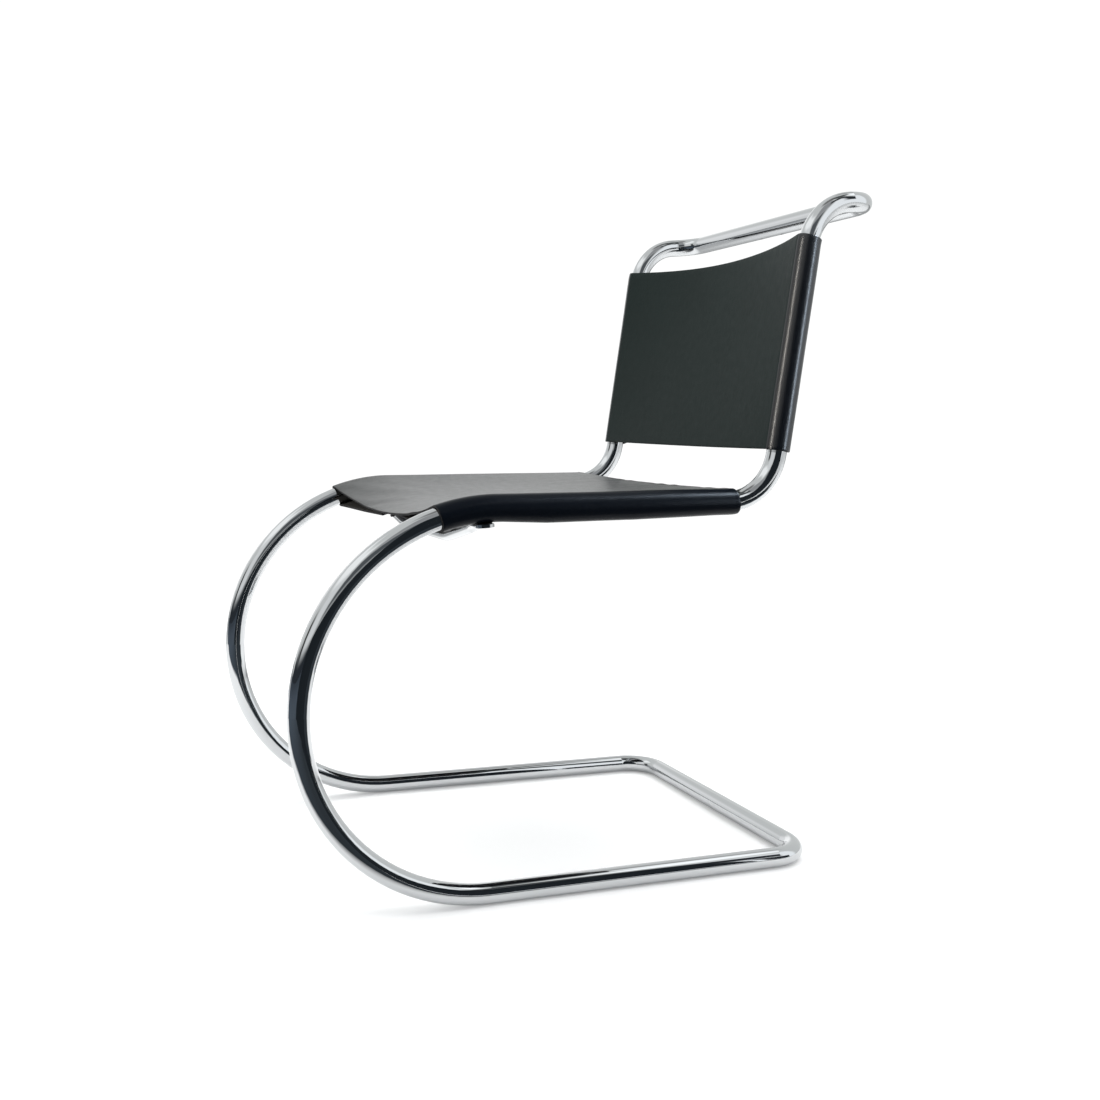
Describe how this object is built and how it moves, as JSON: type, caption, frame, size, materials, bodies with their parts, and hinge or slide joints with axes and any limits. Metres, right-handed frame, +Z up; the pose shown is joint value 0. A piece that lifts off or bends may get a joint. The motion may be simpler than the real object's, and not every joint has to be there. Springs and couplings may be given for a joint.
{
  "type": "cantilever side chair",
  "caption": "Side chair with a bent tubular steel cantilever frame, a laced leather seat and a laced leather back.",
  "frame": {"origin": "on the floor, under the middle of the chair's outline", "axes": "+Z up; the sitter faces -Y, so the curved front of the frame is at -Y and the back at +Y; +X is the sitter's left"},
  "size_m": [0.4702, 0.698, 0.812],
  "materials": {
    "frame_tube_left": "polished chrome plate",
    "frame_tube_right": "polished chrome plate",
    "base_joint_spigot": "plain turned steel",
    "top_joint_spigot": "plain turned steel",
    "base_joint_screws": "zinc plated",
    "top_joint_screws": "zinc plated",
    "seat_sling": "black finished saddle leather, satin",
    "back_sling": "black finished saddle leather, satin",
    "seat_eyelets_left": "nickel plated",
    "seat_eyelets_right": "nickel plated",
    "back_eyelets_left": "nickel plated",
    "back_eyelets_right": "nickel plated",
    "seat_lacing": "black waxed round cord",
    "back_lacing": "black waxed round cord",
    "cross_brace": "polished chrome plate",
    "brace_screws": "plain steel",
    "brace_washers": "polished chrome plate",
    "brace_thread_bushes": "plain turned steel"
  },
  "bodies": {
    "root": {"frame_tube_left": "frame_tube_left", "frame_tube_right": "frame_tube_right", "base_joint_spigot": "base_joint_spigot", "top_joint_spigot": "top_joint_spigot", "base_joint_screws": "base_joint_screws", "top_joint_screws": "top_joint_screws", "seat_sling": "seat_sling", "back_sling": "back_sling", "seat_eyelets_left": "seat_eyelets_left", "seat_eyelets_right": "seat_eyelets_right", "back_eyelets_left": "back_eyelets_left", "back_eyelets_right": "back_eyelets_right", "seat_lacing": "seat_lacing", "back_lacing": "back_lacing", "cross_brace": "cross_brace", "brace_screws": "brace_screws", "brace_washers": "brace_washers", "brace_thread_bushes": "brace_thread_bushes"}
  },
  "joints": []
}
